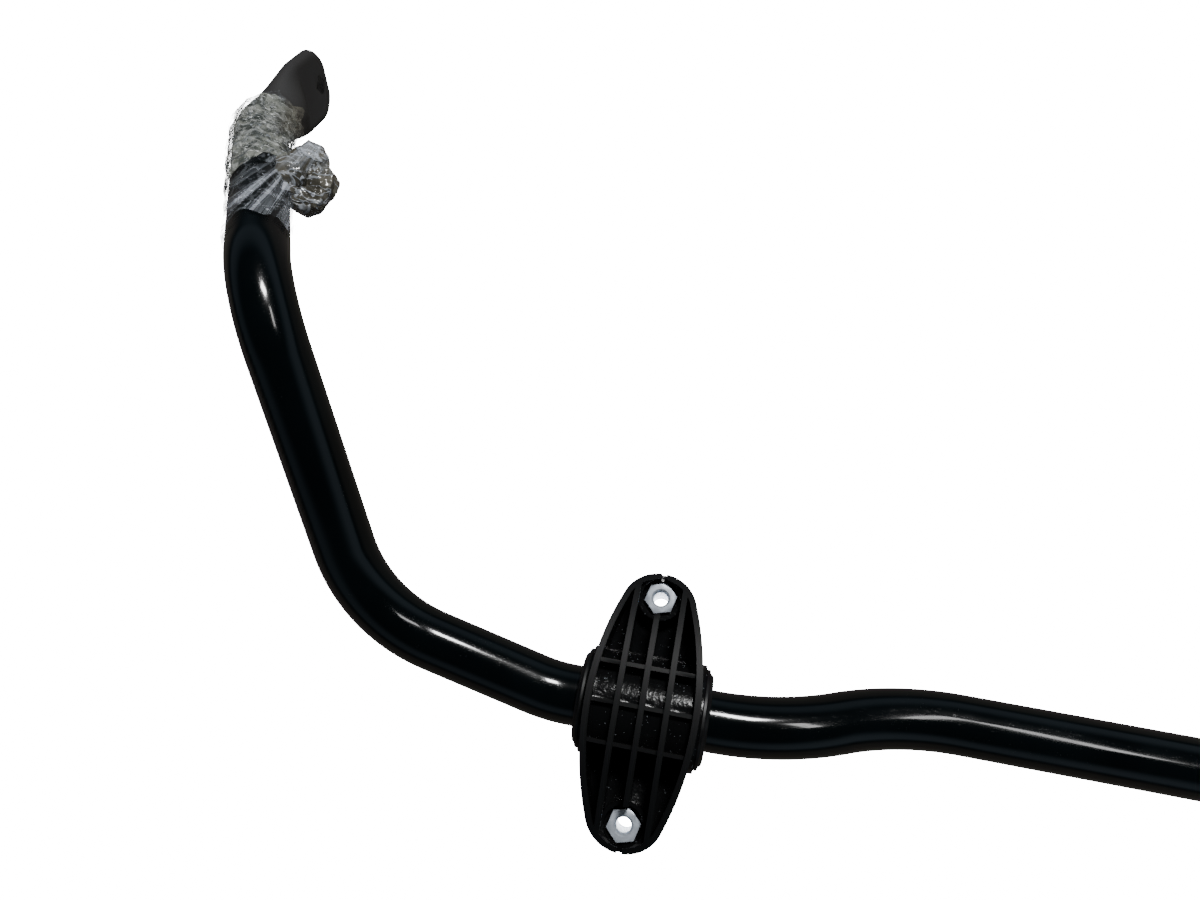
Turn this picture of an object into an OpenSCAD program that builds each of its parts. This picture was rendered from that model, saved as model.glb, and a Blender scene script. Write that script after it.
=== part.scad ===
// Front stabiliser bar with two rubber-bushed clamps.
// Millimetres. X runs along the bar, Y points to the arms, Z is up from the mounting plane.

/* [Bar] */
// Outside diameter of the bent tube
tube_d = 27; // [25:0.5:27.4]
// Wall thickness of the tube
tube_wall = 4; // [3:0.25:5]
// Distance from the middle of the bar to each clamp
clamp_x = 350; // [345:1:360]
// Height of the bar axis inside the clamps
axis_h = 28; // [28:0.25:30]
// Forward set of the long middle span
span_y = 19; // [15:0.5:21]
// Drop of the long middle span below the clamp axis
span_drop = 14.4; // [8:0.2:14.4]
// Outward reach from the clamp to the elbow
elbow_dx = 129.5; // [125:0.5:134]
// Bend radius of the elbow
elbow_r = 65; // [55:1:68]
// Forward reach of the crest of the arm
crest_y = 132; // [126:1:140]
// Rise of the crest bend above the bar axis
crest_z = 102.5; // [92:0.5:108]
// Bend radius at the crest
crest_r = 48; // [40:1:52]

/* [Paddle] */
// Length of the flattened end
paddle_l = 38; // [36:0.5:42]
// Width of the flattened end
paddle_w = 40; // [36:0.5:41]
// Thickness of the flattened end
paddle_t = 8; // [6:0.5:9]
// Distance of the link hole from the start of the flat
eye_at = 26; // [23:0.5:27]
// Diameter of the link hole
eye_d = 10.5; // [8.5:0.5:12.5]

/* [Clamps] */
// Distance between the two bolts of a clamp
bolt_gap = 98; // [97:0.25:99]
// Length of the clamp outline
clamp_l = 120; // [119:0.5:122]
// Width of the clamp outline
clamp_w = 49; // [48:0.5:50]
// Wall thickness of the clamp rim
rim_t = 2.8; // [2.2:0.1:3.2]
// Thickness of the long ribs
rib_t = 2.5; // [1.8:0.1:3]
// Spacing of the long ribs
rib_pitch = 10.7; // [9.5:0.1:11.2]
// Spacing of the cross ribs
cross_pitch = 16.7; // [14:0.1:17.5]
// Height of the rib crown above the bar axis
crown = 29; // [27:0.5:31]

/* [Rubber and hardware] */
// Outside radius of the rubber in its seat
bush_r = 20; // [19:0.25:20.5]
// Radius of the rubber rim outside the clamp
flange_r = 22; // [21:0.25:22.5]
// Nut size across flats
nut_af = 13; // [12.6:0.1:13]
// Height of a nut
nut_h = 6.5; // [5.5:0.1:7]
// Outside diameter of a compression sleeve
sleeve_d = 13; // [12:0.1:13]
// Bore of a compression sleeve
sleeve_bore = 8.6; // [8.4:0.1:9]

/* [Wrapping] */
// Thickness of the bubble wrap on the arm
bubble_t = 2; // [1.5:0.1:4]
// Thickness of the film over the bubble wrap
film_t = 0.6; // [0.5:0.1:1.2]
// Distance of the bubble wrap's lower edge from the end of the arm's top bend
bubble_at = 58; // [30:1:70]
// Distance of the film's lower edge from the end of the arm's top bend
film_at = 8; // [2:1:15]

/* [Hidden] */
$fn = 96;
r_tube = tube_d / 2;
seat_z = axis_h - 2;
nut_z = axis_h + 1.5;
bolt_y = bolt_gap / 2;
gap = 0.05;
// sides of the wrapping round the arm
wrap_sides = 32;
// corner points of the right-hand half of the bar, before bending
pt_b = [236, span_y, axis_h - span_drop];
pt_c = [290, 0, axis_h];
pt_d = [clamp_x + 42, 0, axis_h];
pt_e = [clamp_x + elbow_dx, 18.5, axis_h + 19.5];
pt_f = [529, crest_y, axis_h + crest_z];
pt_g = [594, 249.5, axis_h + 35];
pt_h = [598.5, 292.2, axis_h + 6];
pad_a = unit(pt_h - pt_g);
pad_n = unit([-0.991, 0.127, 0.028] - ([-0.991, 0.127, 0.028] * pad_a) * pad_a);
pad_w = cross(pad_n, pad_a);
path = [[0, span_y, axis_h - span_drop], pt_b, pt_c, pt_d, pt_e, pt_f, pt_g, pt_h];
radii = [0, 135, 140, 58, elbow_r, crest_r, 50, 0];
sets = [for (i = [0:7]) i == 0 ? 0 : i == 7 ? 30 : setback(path[i - 1], path[i], path[i + 1], radii[i])];
// tip radius and side radius of the pointed-oval outline
tip_r = 17;
side_r = ((clamp_l / 2 - tip_r) * (clamp_l / 2 - tip_r) + clamp_w * clamp_w / 4 - tip_r * tip_r)
  / (clamp_w - 2 * tip_r);

function unit(v) = v / norm(v);
function turn(a, b, c) = acos(min(1, max(-1, unit(b - a) * unit(c - b))));
function setback(a, b, c, r) = r * tan(turn(a, b, c) / 2);
// turn angles that carry X, Y, Z onto the three given unit vectors
function euler(x, y, z) = [atan2(y[2], z[2]), asin(min(1, max(-1, -x[2]))), atan2(x[1], x[0])];
function side_vec(d) = unit(cross(abs(d[2]) < 0.9 ? [0, 0, 1] : [0, 1, 0], d));

// straight tube between two points, outer radius r and inner radius ri
module rod(p, q, r, ri) {
  d = unit(q - p);
  s = side_vec(d);
  translate(p) rotate(euler(s, cross(d, s), d)) linear_extrude(norm(q - p)) difference() {
    circle(r = r);
    circle(r = ri);
  }
}

// tube bend of radius br at corner b on the way from a to c
module bend(a, b, c, br, r, ri) {
  u = unit(b - a);
  v = unit(c - b);
  ang = turn(a, b, c);
  side = unit(v - (v * u) * u);
  start = b - u * br * tan(ang / 2);
  translate(start + side * br) rotate(euler(-side, u, cross(-side, u)))
    rotate_extrude(angle = ang) translate([br, 0]) difference() {
      circle(r = r);
      circle(r = ri);
    }
}

// thin band over the joint of two tube pieces
module band(p, d, r, ri) {
  rod(p - d * 0.25, p + d * 0.25, r + 0.04, ri - 0.04);
}

// one half of the bar, from the middle span to the end of the tube
module arm(r, ri) {
  for (i = [1:6]) {
    d = unit(path[i + 1] - path[i]);
    from = path[i] + d * sets[i];
    to = path[i + 1] - d * sets[i + 1];
    bend(path[i - 1], path[i], path[i + 1], radii[i], r, ri);
    rod(from, to, r, ri);
    band(path[i] - unit(path[i] - path[i - 1]) * sets[i], unit(path[i] - path[i - 1]), r, ri);
    band(from, d, r, ri);
  }
}

// both halves with the straight middle span
module bar_run(r, ri) {
  arm(r, ri);
  mirror([1, 0, 0]) arm(r, ri);
  rod([sets[1] - pt_b[0], span_y, pt_b[2]], [pt_b[0] - sets[1], span_y, pt_b[2]], r, ri);
}

// flat drilled end in its own axes: X along the arm, Y across, Z through
module paddle() {
  cr = 15.5;
  difference() {
    union() {
      translate([0, 0, -paddle_t / 2]) linear_extrude(paddle_t) {
        translate([0, -paddle_w / 2]) square([paddle_l - cr, paddle_w]);
        translate([0, cr - paddle_w / 2]) square([paddle_l, paddle_w - 2 * cr]);
        for (s = [-1, 1]) translate([paddle_l - cr, s * (paddle_w / 2 - cr)]) circle(r = cr);
      }
      hull() {
        translate([-30.6, 0, 0]) rotate([0, 90, 0]) cylinder(r = r_tube + 0.09, h = 0.8, $fn = 40);
        translate([-0.4, -paddle_w / 2, -paddle_t / 2]) cube([0.8, paddle_w, paddle_t]);
      }
    }
    translate([eye_at, 0, -paddle_t]) cylinder(d = eye_d, h = 2 * paddle_t);
  }
}

module paddle_end() {
  translate(pt_h) rotate(euler(pad_a, pad_w, pad_n)) paddle();
}

module stabilizer_bar() {
  color([0.03, 0.04, 0.05]) {
    bar_run(r_tube, r_tube - tube_wall);
    paddle_end();
    mirror([1, 0, 0]) paddle_end();
  }
}

// pointed oval outline of a clamp, moved inwards by t
module oval(t) {
  yt = side_r * (clamp_l / 2 - tip_r) / (side_r - tip_r);
  intersection() {
    translate([clamp_w / 2 - side_r, 0]) circle(r = side_r - t, $fn = 180);
    translate([side_r - clamp_w / 2, 0]) circle(r = side_r - t, $fn = 180);
    square([clamp_w * 2, 2 * yt], center = true);
  }
  // the tip arcs stand out a little, so that they cross the side arcs at a clear angle
  for (s = [-1, 1]) translate([0, s * (clamp_l / 2 - tip_r - 0.06)]) circle(r = tip_r + 0.06 - t);
}

// ring along X round the bar axis
module ring_x(ro, ri, half) {
  translate([-half, 0, axis_h]) rotate([0, 90, 0]) difference() {
    cylinder(r = ro, h = 2 * half);
    translate([0, 0, -1]) cylinder(r = ri, h = 2 * half + 2);
  }
}

module rod_x(r, half) {
  translate([-half, 0, axis_h]) rotate([0, 90, 0]) cylinder(r = r, h = 2 * half);
}

// space above (1) or below (-1) a level
module half_space(level, up) {
  translate([-60, -90, up > 0 ? level : level - 120]) cube([120, 180, 120]);
}

module ribbed_clamp() {
  color([0.05, 0.05, 0.05]) difference() {
    union() {
      // rim, ribs and shell under the arched crown
      intersection() {
        union() {
          translate([0, 0, seat_z]) linear_extrude(60) difference() {
            oval(0);
            oval(rim_t);
          }
          translate([0, 0, seat_z]) linear_extrude(60) intersection() {
            oval(rim_t / 2);
            union() {
              for (s = [-1, 1]) translate([s * rib_pitch - rib_t / 2, -clamp_l / 2])
                square([rib_t, clamp_l]);
              translate([-rib_t / 2, -bolt_y]) square([rib_t, bolt_gap]);
            }
          }
          // cross ribs, a little lower than the long ribs
          intersection() {
            translate([0, 0, seat_z]) linear_extrude(60) intersection() {
              oval(rim_t / 2);
              for (k = [-1:1]) translate([-clamp_w, k * cross_pitch - 0.9]) square([2 * clamp_w, 1.8]);
            }
            translate([0, 0, -2.4]) crown_body();
          }
        }
        crown_body();
      }
      translate([0, 0, seat_z]) linear_extrude(3.5) oval(rim_t / 2);
      intersection() {
        ring_x(bush_r + 3, bush_r, clamp_w / 2 - 0.4);
        half_space(seat_z, 1);
        translate([0, 0, seat_z]) linear_extrude(60) oval(0.4);
      }
      intersection() {
        ring_x(bush_r + 3.6, bush_r, clamp_w / 2 + 1);
        half_space(seat_z, 1);
      }
      for (s = [-1, 1]) translate([0, s * bolt_y, seat_z]) cylinder(r = 10.4, h = 12.5);
    }
    rod_x(bush_r, clamp_w);
    for (s = [-1, 1]) translate([0, s * bolt_y, 0]) {
      cylinder(d = sleeve_d + 0.2, h = 100);
      translate([0, 0, nut_z]) cylinder(d = (nut_af + 0.2) / cos(30), h = 4, $fn = 6);
      translate([0, 0, nut_z + 4]) cylinder(r = 8.6, h = 60);
      translate([-1.1, s > 0 ? 8 : -16, nut_z + 3.5]) cube([2.2, 8, 40]);
    }
  }
}

// solid under the arched crown of the ribs
module crown_body() {
  translate([-60, 0, axis_h + crown - 104]) rotate([0, 90, 0]) cylinder(r = 104, h = 120, $fn = 200);
}

module base_clamp() {
  color([0.05, 0.05, 0.05]) difference() {
    union() {
      linear_extrude(seat_z - 0.2) oval(0);
      intersection() {
        ring_x(bush_r + 3.6, bush_r, clamp_w / 2 + 1);
        half_space(seat_z - 0.2, -1);
        translate([0, 0, 0.5]) half_space(0, 1);
      }
    }
    rod_x(bush_r, clamp_w);
    for (s = [-1, 1]) translate([0, s * bolt_y, -1]) cylinder(d = sleeve_d + 0.2, h = 60);
    // weight-saving pockets, open downwards
    for (s = [-1, 1], t = [-1, 1])
      translate([t * 8.2 - 6, s * 31 - 7, -1]) cube([12, 14, 15]);
  }
}

module bush_body() {
  ring_x(bush_r - gap, r_tube + gap, clamp_w / 2 + 1.1);
  for (s = [-1, 1]) {
    translate([s * (clamp_w / 2 + 2), 0, 0]) ring_x(flange_r, r_tube + gap, 0.9);
    translate([s * (clamp_w / 2 + 3.6), 0, 0]) ring_x(flange_r - 1.8, r_tube + gap, 0.9);
  }
}

module bush_upper() {
  color([0.03, 0.03, 0.03]) difference() {
    intersection() {
      bush_body();
      half_space(axis_h + 0.1, 1);
    }
    insert_space();
  }
}

module bush_lower() {
  color([0.03, 0.03, 0.03]) difference() {
    intersection() {
      bush_body();
      half_space(axis_h - 0.1, -1);
    }
    insert_space();
  }
}

module insert_space() {
  ring_x(17.5 + gap, 16.2 - gap, 22 + gap);
}

module insert_upper() {
  color([0.5, 0.5, 0.52]) intersection() {
    ring_x(17.5, 16.2, 22);
    half_space(axis_h + 1.2, 1);
  }
}

module insert_lower() {
  color([0.5, 0.5, 0.52]) intersection() {
    ring_x(17.5, 16.2, 22);
    half_space(axis_h - 1.2, -1);
  }
}

module sleeve(s) {
  color([0.7, 0.7, 0.72]) translate([0, s * bolt_y, 0]) difference() {
    cylinder(d = sleeve_d, h = nut_z);
    translate([0, 0, -1]) cylinder(d = sleeve_bore, h = nut_z + 2);
  }
}

module hex_nut(s) {
  color([0.75, 0.78, 0.82]) translate([0, s * bolt_y, nut_z]) difference() {
    intersection() {
      cylinder(d = nut_af / cos(30), h = nut_h, $fn = 6);
      cylinder(r1 = nut_af / 2 + 7, r2 = nut_af / 2 + 0.35, h = nut_h);
    }
    translate([0, 0, -1]) cylinder(r = 3.4, h = nut_h + 2);
    translate([0, 0, nut_h - 0.75]) cylinder(r1 = 3.4, r2 = 4.15, h = 0.76);
  }
}

// one clamp part on the left or right bracket
module on(side) {
  translate([side * clamp_x, 0, 0]) children();
}

// points along a bend at corner b on the way from a to c, each with its direction
function bend_points(a, b, c, br, n) = let(
  u = unit(b - a),
  v = unit(c - b),
  ang = turn(a, b, c),
  side = unit(v - (v * u) * u),
  start = b - u * br * tan(ang / 2)
) [for (i = [0:n]) let(t = ang * i / n)
  [start + side * br * (1 - cos(t)) + u * br * sin(t), u * cos(t) + side * sin(t)]];

// points round a line point q = [place, direction] at radius r
function ring_points(q, r) = let(
  e = unit(pad_n - (pad_n * q[1]) * q[1]),
  f = cross(q[1], e)
) [for (i = [0:wrap_sides - 1]) let(t = 360 * i / wrap_sides) q[0] + r * (cos(t) * e + sin(t) * f)];

// wrapped length of the left arm between two radii, as one swept shell; each start is a distance
// along the arm and how much tighter the shell sits there
module wrap_shell(ro, ri, starts, tail) {
  u = unit(pt_g - pt_f);
  line = concat([for (g = starts) [pt_f + u * (sets[5] + g[0]), u, g[1]]],
    [for (q = bend_points(pt_f, pt_g, pt_h, radii[6], 6)) concat(q, 0)],
    [[pt_g + pad_a * (sets[6] + tail), pad_a, 0]]);
  n = wrap_sides;
  last = len(line) - 1;
  points = [for (q = line) for (r = [ro, ri]) each ring_points(q, r - q[2])];
  walls = [for (k = [0:last - 1], i = [0:n - 1]) let(j = (i + 1) % n, a = 2 * n * k, b = a + 2 * n)
    each [[a + i, b + i, b + j], [a + i, b + j, a + j],
      [a + n + i, b + n + j, b + n + i], [a + n + i, a + n + j, b + n + j]]];
  rims = [for (i = [0:n - 1]) let(j = (i + 1) % n, b = 2 * n * last)
    each [[i, j, n + j], [i, n + j, n + i], [b + i, b + n + j, b + j], [b + i, b + n + i, b + n + j]]];
  mirror([1, 0, 0]) polyhedron(points, concat(walls, rims));
}

module bubble_wrap() {
  color([0.8, 0.82, 0.82, 0.4]) wrap_shell(r_tube + 0.35 + bubble_t, r_tube + 0.5, [[bubble_at, 0]], 3);
}

module stretch_film() {
  color([0.85, 0.86, 0.86, 0.3])
    wrap_shell(r_tube + 0.4 + bubble_t + film_t, r_tube + 0.4 + bubble_t,
      [[film_at, 1.7], [bubble_at - 7, 1.7], [bubble_at - 0.5, 0]], 5);
}

module film_knot() {
  color([0.6, 0.55, 0.45, 0.4]) hull() {
    translate([-547.1, 217, axis_h + 58]) sphere(r = 9.2, $fn = 20);
    translate([-536.9, 207.6, axis_h + 56]) sphere(r = 6.5, $fn = 20);
    translate([-536.5, 196, axis_h + 60]) sphere(r = 7, $fn = 20);
  }
}

stabilizer_bar();
on(-1) ribbed_clamp();  // left_ribbed_clamp
on(-1) base_clamp();  // left_base_clamp
on(-1) bush_upper();  // left_bush_upper
on(-1) bush_lower();  // left_bush_lower
on(-1) insert_upper();  // left_insert_upper
on(-1) insert_lower();  // left_insert_lower
on(-1) sleeve(1);  // left_sleeve_front
on(-1) sleeve(-1);  // left_sleeve_rear
on(-1) hex_nut(1);  // left_nut_front
on(-1) hex_nut(-1);  // left_nut_rear
on(1) ribbed_clamp();  // right_ribbed_clamp
on(1) base_clamp();  // right_base_clamp
on(1) bush_upper();  // right_bush_upper
on(1) bush_lower();  // right_bush_lower
on(1) insert_upper();  // right_insert_upper
on(1) insert_lower();  // right_insert_lower
on(1) sleeve(1);  // right_sleeve_front
on(1) sleeve(-1);  // right_sleeve_rear
on(1) hex_nut(1);  // right_nut_front
on(1) hex_nut(-1);  // right_nut_rear
bubble_wrap();
stretch_film();
film_knot();
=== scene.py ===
import math

import bmesh
import bpy
from bpy.props import FloatProperty, FloatVectorProperty, IntProperty, PointerProperty
from mathutils import Matrix, Vector, noise


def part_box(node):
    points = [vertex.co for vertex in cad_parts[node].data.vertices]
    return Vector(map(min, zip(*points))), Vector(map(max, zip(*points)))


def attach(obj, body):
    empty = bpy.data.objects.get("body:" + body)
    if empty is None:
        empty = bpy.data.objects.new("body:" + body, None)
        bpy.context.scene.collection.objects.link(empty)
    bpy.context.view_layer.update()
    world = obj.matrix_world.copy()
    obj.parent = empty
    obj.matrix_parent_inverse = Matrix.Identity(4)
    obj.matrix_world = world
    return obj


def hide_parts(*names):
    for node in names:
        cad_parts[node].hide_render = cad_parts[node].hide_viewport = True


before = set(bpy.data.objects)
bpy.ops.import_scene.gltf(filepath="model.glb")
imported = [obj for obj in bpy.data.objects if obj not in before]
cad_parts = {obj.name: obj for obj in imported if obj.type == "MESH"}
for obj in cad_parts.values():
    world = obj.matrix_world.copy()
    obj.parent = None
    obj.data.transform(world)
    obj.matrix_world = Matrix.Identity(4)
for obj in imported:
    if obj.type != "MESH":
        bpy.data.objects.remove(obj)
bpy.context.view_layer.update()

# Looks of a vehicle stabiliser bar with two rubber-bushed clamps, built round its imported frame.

bl_info = {
    "name": "Stabiliser bar",
    "version": (1, 0, 0),
    "blender": (4, 5, 0),
    "location": "3D View > Sidebar > Stabiliser bar",
    "description": "Models the visible pieces of a stabiliser bar, its clamps and its wrapping",
    "category": "Object",
}

MM = 0.001
SIDES = {"left": -1, "right": 1}
CLAMP_X = (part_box("right_ribbed_clamp")[0].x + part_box("right_ribbed_clamp")[1].x) / 2
AXIS_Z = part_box("right_bush_upper")[0].z - 0.1 * MM
TUBE_R = 13.5 * MM
# radius and highest point of the arched crown that the clamp ribs follow
CROWN_R = 104 * MM
CROWN_TOP = 57 * MM
# corner points of the right-hand half of the bar, and the bend radius at each
CORNERS = [Vector(p) * MM for p in (
    (0, 19, 13.6), (236, 19, 13.6), (290, 0, 28), (392, 0, 28),
    (479.5, 18.5, 47.5), (529, 132, 130.5), (594, 249.5, 63), (598.5, 292.2, 34),
)]
BENDS = [r * MM for r in (0, 135, 140, 58, 65, 48, 50, 0)]
CREST, WRAP_BEND, FLAT_START = 5, 6, 7
# length over which the tube becomes the flat end, and the direction that the left flat faces
SHOULDER = 30 * MM
FLAT_FACING = Vector((-0.991, 0.127, 0.028))
# slope of the plane in which the film is pulled sideways
PULL_LEAN = Vector((0.641, 0.591))
# mean radius of the wrapping
WRAP_R = 15.5 * MM
# middle of the painted highlight patch on the film, a painted reflection of a flat facet, measured from
# the point it is pulled to
GLINT_PATCH_PLACE = Vector((12.7, -43.0)) * MM
CAMERA_PLACE = Vector((-339.35, -2.63, 443.0)) * MM
CAMERA_FORWARD = Vector((-0.11979907, 0.27380738, -0.95429435))
CAMERA_UP = Vector((-0.15429434, 0.94440277, 0.29033889))


# ------------------------------------------------------------------ properties


class BarProperties(bpy.types.PropertyGroup):
    """Sizes and colour of the bar"""

    ring: IntProperty(name="Sides", description="Faces round the tube", default=64, min=32, max=96)
    flat_length: FloatProperty(
        name="Flat length", description="Length of the flattened end", default=38 * MM, unit="LENGTH"
    )
    flat_width: FloatProperty(
        name="Flat width", description="Width of the flattened end", default=40 * MM, unit="LENGTH"
    )
    flat_thickness: FloatProperty(
        name="Flat thickness", description="Thickness of the flattened end", default=8 * MM, unit="LENGTH"
    )
    corner: FloatProperty(
        name="Corner radius", description="Corner radius of the flat's outline",
        default=15.5 * MM, unit="LENGTH",
    )
    eye_at: FloatProperty(
        name="Eye position", description="Distance of the link hole from the start of the flat",
        default=26 * MM, unit="LENGTH",
    )
    eye_radius: FloatProperty(
        name="Eye radius", description="Radius of the link hole", default=5.25 * MM, unit="LENGTH"
    )
    colour: FloatVectorProperty(
        name="Paint", description="Colour of the gloss paint",
        subtype="COLOR", default=(0.0012, 0.0024, 0.003),
    )


class ClampProperties(bpy.types.PropertyGroup):
    """Finish of the moulded clamps"""

    edge: FloatProperty(
        name="Edge radius", description="Rounding of the moulded edges", default=0.32 * MM, unit="LENGTH"
    )
    colour: FloatVectorProperty(
        name="Plastic", description="Colour of the moulding",
        subtype="COLOR", default=(0.0042, 0.0044, 0.0048),
    )


class RubberProperties(bpy.types.PropertyGroup):
    """Sizes of the rubber bushes"""

    outer: FloatProperty(
        name="Outer radius", description="Radius of the rubber in its seat",
        default=19.95 * MM, unit="LENGTH",
    )
    rim: FloatProperty(
        name="Rim radius", description="Radius of the rim beside the clamp", default=22 * MM, unit="LENGTH"
    )
    bore: FloatProperty(
        name="Bore radius", description="Radius of the bore on the bar", default=13.55 * MM, unit="LENGTH"
    )
    colour: FloatVectorProperty(
        name="Rubber", description="Colour of the rubber", subtype="COLOR", default=(0.006, 0.006, 0.0063)
    )


class NutProperties(bpy.types.PropertyGroup):
    """Sizes of the captive nuts"""

    flats: FloatProperty(name="Across flats", description="Nut size", default=13 * MM, unit="LENGTH")
    height: FloatProperty(name="Height", description="Height of the nut", default=6.5 * MM, unit="LENGTH")
    bore: FloatProperty(
        name="Bore radius", description="Minor thread radius", default=3.4 * MM, unit="LENGTH"
    )
    mouth: FloatProperty(
        name="Mouth radius", description="Radius of the countersink", default=4.15 * MM, unit="LENGTH"
    )
    pitch: FloatProperty(name="Pitch", description="Thread pitch", default=1.25 * MM, unit="LENGTH")
    colour: FloatVectorProperty(
        name="Zinc", description="Colour of the plating", subtype="COLOR", default=(0.72, 0.79, 0.88)
    )


class WrapProperties(bpy.types.PropertyGroup):
    """Sizes and colours of the wrapping on the left arm"""

    bubble_pitch: FloatProperty(
        name="Bubble pitch", description="Distance between bubbles", default=9.5 * MM, unit="LENGTH"
    )
    bubble_height: FloatProperty(
        name="Bubble height", description="Height of a full bubble", default=1.9 * MM, unit="LENGTH"
    )
    mesh_step: FloatProperty(
        name="Mesh step", description="Distance between rings of the film", default=0.8 * MM, unit="LENGTH"
    )
    # the white of the film's painted highlights: its pull lines, folds, glints and highlight patch
    colour: FloatVectorProperty(
        name="Film", description="Colour of the film's white creases",
        subtype="COLOR", default=(0.8, 0.86, 0.95),
    )
    bunch: FloatVectorProperty(
        name="Bunched film", description="Colour of the bunched end",
        subtype="COLOR", default=(0.13, 0.12, 0.095),
    )


class StageProperties(bpy.types.PropertyGroup):
    """Floor and light"""

    floor: FloatVectorProperty(
        name="Floor", description="Colour of the floor", subtype="COLOR", default=(0.86, 0.86, 0.86)
    )
    lamp_power: FloatProperty(
        name="Lamp power", description="Power of the main lamp", default=42, unit="POWER"
    )


# ------------------------------------------------------------------ shader maths


class Wire:
    """One node socket, so that shader maths can be written as a Python expression."""

    def __init__(self, look, socket):
        self.look = look
        self.socket = socket

    def __add__(self, other):
        return self.look.math("ADD", self, other)

    def __sub__(self, other):
        return self.look.math("SUBTRACT", self, other)

    def __rsub__(self, other):
        return self.look.math("SUBTRACT", other, self)

    def __mul__(self, other):
        return self.look.math("MULTIPLY", self, other)

    __radd__ = __add__
    __rmul__ = __mul__

    def clamped(self):
        return self.look.math("ADD", self, 0.0, clamp=True)

    def step(self, low, high):
        """0 below low, 1 above high and smooth between them."""
        settings = {"interpolation_type": "SMOOTHSTEP"}
        return self.look.add("MapRange", settings, {"Value": self, "From Min": low, "From Max": high})

    def peak(self):
        """Largest where a noise crosses its middle, as a crease does."""
        return 1.0 - self.look.math("ABSOLUTE", (self - 0.5) * 2.0)


class Look:
    """The node tree of a new material, or of the world if one is given."""

    def __init__(self, name, world=None):
        self.owner = world or bpy.data.materials.new(name)
        self.owner.use_nodes = True
        self.tree = self.owner.node_tree
        self.tree.nodes.clear()
        self.place = None if world else self.add("TexCoord", {}, {}, "Object")

    def add(self, kind, settings, values, output=0):
        """A node of that kind: its settings first, then the values or links of its sockets."""
        node = self.tree.nodes.new("ShaderNode" + kind)
        for key, value in settings.items():
            setattr(node, key, value)
        for key, value in values.items():
            if isinstance(value, Wire):
                self.tree.links.new(value.socket, node.inputs[key])
            else:
                node.inputs[key].default_value = value
        return Wire(self, node.outputs[output]) if node.outputs else None

    def math(self, operation, *values, clamp=False):
        """A Math node on any mixture of wires and numbers."""
        return self.add("Math", {"operation": operation, "use_clamp": clamp}, dict(enumerate(values)))

    def noise(self, scale, detail=2.0, roughness=0.5, stretch=None, distortion=0.0):
        """Noise whose features are about 1/scale metres, stretched by a scale vector and turned."""
        vector = self.place
        if stretch:
            turn, sizes = stretch
            vector = self.add("Mapping", {}, {"Vector": vector, "Rotation": turn, "Scale": sizes})
        values = {
            "Vector": vector, "Scale": scale, "Detail": detail, "Roughness": roughness,
            "Distortion": distortion,
        }
        return self.add("TexNoise", {}, values)

    def axis(self, name):
        return self.add("SeparateXYZ", {}, {"Vector": self.place}, name)

    def mix(self, factor, first, second):
        """A colour between two colours."""
        first, second = (c if isinstance(c, Wire) else (*c, 1.0) for c in (first, second))
        return self.add("Mix", {"data_type": "RGBA"}, {0: factor, 6: first, 7: second}, 2)

    def bump(self, height, distance, strength=1.0):
        return self.add("Bump", {}, {"Height": height, "Distance": distance, "Strength": strength})

    def surface(self, constants, **varying):
        """The shader: constants on its own sockets, and what changes over the surface as links."""
        sockets = dict(constants)
        for name, value in varying.items():
            sockets[name.replace("_", " ").title()] = value
        shader = self.add("BsdfPrincipled", {}, sockets)
        self.add("OutputMaterial", {}, {"Surface": shader})
        return self.owner


def bar_paint(colour):
    """Deep gloss paint with orange peel, dust and fine scratches, duller on the forged ends."""
    look = Look("gloss_bar_paint")
    forged = look.axis("Y").step(0.262, 0.272)
    drift = look.noise(22, 3)
    peel = look.noise(650, 2)
    scratch = look.noise(140, 2, stretch=((0.4, 0.2, 0.7), (1, 22, 22))).step(0.66, 0.7)
    dust = look.noise(2300, 1).step(0.74, 0.8) * look.noise(45, 2).step(0.5, 0.65)
    tone = look.mix(drift.step(0.35, 0.75), colour, [c * 1.9 for c in colour])
    tone = look.mix(forged, tone, look.mix(drift, (0.044, 0.043, 0.043), (0.066, 0.064, 0.063)))
    tone = look.mix(dust * 0.35, tone, (0.16, 0.17, 0.17))
    rough = 0.12 + drift.step(0.4, 0.8) * 0.07 + scratch * 0.1 + dust * 0.3 + forged * 0.36
    height = peel * 0.35 + scratch * -0.25 + forged * look.noise(420, 3) * 1.6
    normal = look.bump(height, 0.00003, 0.5)
    return look.surface(
        {"IOR": 1.5, "Coat Roughness": 0.055},
        base_color=tone, roughness=rough, coat_weight=0.5 - forged * 0.5, normal=normal,
    )


def clamp_plastic(colour):
    """Black moulding: satin on the crown of the ribs, which are painted lighter as a painted sheen, and
    oily down in the cells, where pale specks are painted glints.
    """
    look = Look("clamp_plastic")
    across = look.axis("Y")
    arch = look.math("SQRT", CROWN_R**2 - across * across) - CROWN_R + CROWN_TOP
    crown = 1.0 - (arch - look.axis("Z")).step(2.7 * MM, 3.4 * MM)
    drift = look.noise(60, 3)
    grain = look.noise(1500, 3)
    wet = look.noise(520, 3, distortion=0.6)
    painted_glints = look.noise(820, 2).step(0.69, 0.73)
    tone = look.mix(drift, colour, [c * 1.8 for c in colour])
    # painted sheen: the rib crowns are painted lighter than the cells
    tone = look.mix(crown * 0.7, tone, (0.0085, 0.009, 0.0095))
    # painted glints: pale specks painted into the cells
    tone = look.mix(painted_glints * (1.0 - crown) * 0.6, tone, (0.3, 0.33, 0.36))
    rough = 0.14 + crown * 0.32 + drift * 0.06
    height = grain * 0.25 + wet * (1.0 - crown) * 1.6
    return look.surface(
        {"IOR": 1.5, "Specular IOR Level": 0.22},
        base_color=tone, roughness=rough, normal=look.bump(height, 0.00012, 0.7),
    )


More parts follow.
